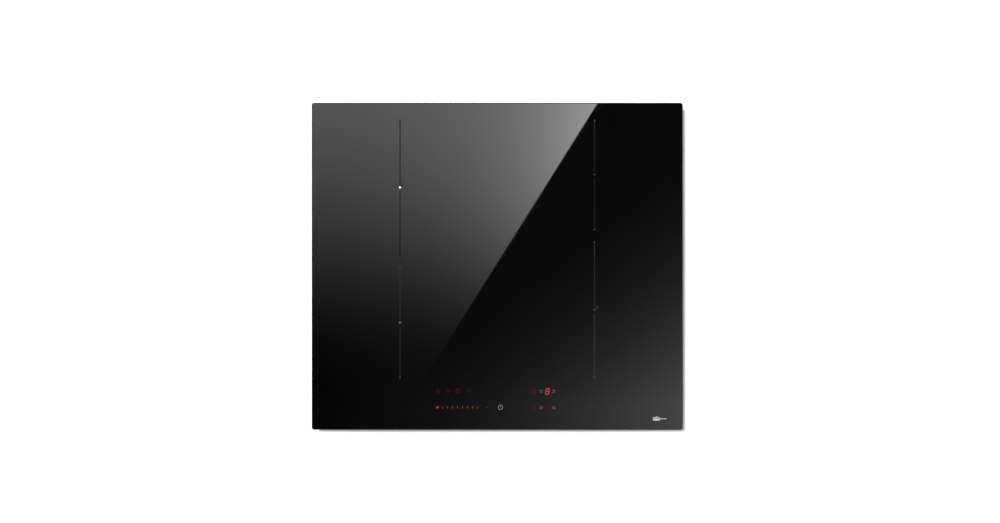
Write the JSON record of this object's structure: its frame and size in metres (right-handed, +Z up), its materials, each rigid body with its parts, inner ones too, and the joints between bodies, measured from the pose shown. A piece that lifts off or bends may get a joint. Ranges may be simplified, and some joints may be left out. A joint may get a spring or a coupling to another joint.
{
  "type": "induction cooktop",
  "caption": "Built-in induction cooktop: black glass plate with zone marks and touch controls over a shallow steel tray holding sprung coils, power boards and a fan.",
  "frame": {"origin": "middle of the tray's underside, on the surface that the cooktop stands on", "axes": "+X to the user's right, +Y to the back, +Z up; the touch controls are at the front, towards -Y"},
  "size_m": [0.59, 0.52, 0.056],
  "materials": {
    "black_glass": "polished, printed underside, opaque black",
    "seal_foam": "closed-cell foam tape",
    "silicone": "satin",
    "galvanised_steel": "galvanised, spangled, satin",
    "screw_steel": "zinc plated",
    "spring_steel": "rolled, satin",
    "sheet_aluminium": "mill finish",
    "white_plastic": "moulded",
    "circuit_board": "solder mask",
    "black_plastic": "fine moulded texture",
    "capacitor_plastic": "smooth",
    "copper_wire": "enamelled",
    "ferrite": "sintered",
    "fibre_mat": "pressed ceramic fibre",
    "white_silicone": "matt",
    "touch_foam": "conductive foam",
    "grommet_rubber": "moulded",
    "wire_cover": "smooth"
  },
  "bodies": {
    "hob": {"adhesive_bead": "silicone", "base_tray": "galvanised_steel", "board_screws": "screw_steel", "cable_grommet": "grommet_rubber", "case_screws": "screw_steel", "coil_springs_left_front": "spring_steel", "coil_springs_left_rear": "spring_steel", "coil_springs_right_front": "spring_steel", "coil_springs_right_rear": "spring_steel", "coil_support_left": "sheet_aluminium", "coil_support_right": "sheet_aluminium", "control_carrier": "white_plastic", "digit_displays": "black_plastic", "fan_housing": "black_plastic", "fan_motor": "screw_steel", "film_capacitors": "capacitor_plastic", "filter_board": "circuit_board", "filter_chokes": "copper_wire", "glass_ceramic_plate": "black_glass", "glass_frame": "galvanised_steel", "guide_posts": "white_plastic", "heat_sinks": "sheet_aluminium", "mains_wiring": "wire_cover", "power_board_left": "circuit_board", "power_board_right": "circuit_board", "power_transistors": "black_plastic", "side_spring_bases": "spring_steel", "terminal_block": "white_plastic", "terminal_box": "black_plastic", "touch_board": "circuit_board", "touch_pads": "touch_foam", "worktop_seal": "seal_foam"},
    "coil_unit_left_rear": {"coil_plate_left_rear": "sheet_aluminium", "coil_former_left_rear": "black_plastic", "ferrite_bars_left_rear": "ferrite", "coil_winding_left_rear": "copper_wire", "insulation_mat_left_rear": "fibre_mat", "heat_sensor_left_rear": "white_silicone"},
    "coil_unit_left_front": {"coil_plate_left_front": "sheet_aluminium", "coil_former_left_front": "black_plastic", "ferrite_bars_left_front": "ferrite", "coil_winding_left_front": "copper_wire", "insulation_mat_left_front": "fibre_mat", "heat_sensor_left_front": "white_silicone"},
    "coil_unit_right_rear": {"coil_plate_right_rear": "sheet_aluminium", "coil_former_right_rear": "black_plastic", "ferrite_bars_right_rear": "ferrite", "coil_winding_right_rear": "copper_wire", "insulation_mat_right_rear": "fibre_mat", "heat_sensor_right_rear": "white_silicone"},
    "coil_unit_right_front": {"coil_plate_right_front": "sheet_aluminium", "coil_former_right_front": "black_plastic", "ferrite_bars_right_front": "ferrite", "coil_winding_right_front": "copper_wire", "insulation_mat_right_front": "fibre_mat", "heat_sensor_right_front": "white_silicone"},
    "fan_rotor": {"fan_wheel": "black_plastic"},
    "terminal_lid": {"terminal_cover": "black_plastic"},
    "side_grip_left": {"side_springs_left": "spring_steel"},
    "side_grip_right": {"side_springs_right": "spring_steel"}
  },
  "joints": [
    {"name": "coil_press_left_rear", "type": "slide", "parent": "hob", "child": "coil_unit_left_rear", "axis": [0, 0, 1], "range_m": [-0.003, 0], "stiffness_N_per_m": 6000, "springref_m": 0.006, "deforming": ["coil_springs_left_rear"]},
    {"name": "coil_press_left_front", "type": "slide", "parent": "hob", "child": "coil_unit_left_front", "axis": [0, 0, 1], "range_m": [-0.003, 0], "stiffness_N_per_m": 6000, "springref_m": 0.006, "deforming": ["coil_springs_left_front"]},
    {"name": "coil_press_right_rear", "type": "slide", "parent": "hob", "child": "coil_unit_right_rear", "axis": [0, 0, 1], "range_m": [-0.003, 0], "stiffness_N_per_m": 6000, "springref_m": 0.006, "deforming": ["coil_springs_right_rear"]},
    {"name": "coil_press_right_front", "type": "slide", "parent": "hob", "child": "coil_unit_right_front", "axis": [0, 0, 1], "range_m": [-0.003, 0], "stiffness_N_per_m": 6000, "springref_m": 0.006, "deforming": ["coil_springs_right_front"]},
    {"name": "fan_spin", "type": "hinge", "parent": "hob", "child": "fan_rotor", "pos_m": [0, -0.02, 0.012], "axis": [0, 0, 1], "continuous": true},
    {"name": "terminal_cover_hinge", "type": "hinge", "parent": "hob", "child": "terminal_lid", "pos_m": [0.215, 0.192, 0.0024], "axis": [1, 0, 0], "range_deg": [-100, 0]},
    {"name": "side_spring_left_flex", "type": "hinge", "parent": "hob", "child": "side_grip_left", "pos_m": [-0.2778, 0, 0.01], "axis": [0, 1, 0], "range_deg": [0, 7], "stiffness_Nm_per_rad": 8, "springref_deg": -0.57},
    {"name": "side_spring_right_flex", "type": "hinge", "parent": "hob", "child": "side_grip_right", "pos_m": [0.2778, 0, 0.01], "axis": [0, 1, 0], "range_deg": [-7, 0], "stiffness_Nm_per_rad": 8, "springref_deg": 0.57}
  ]
}
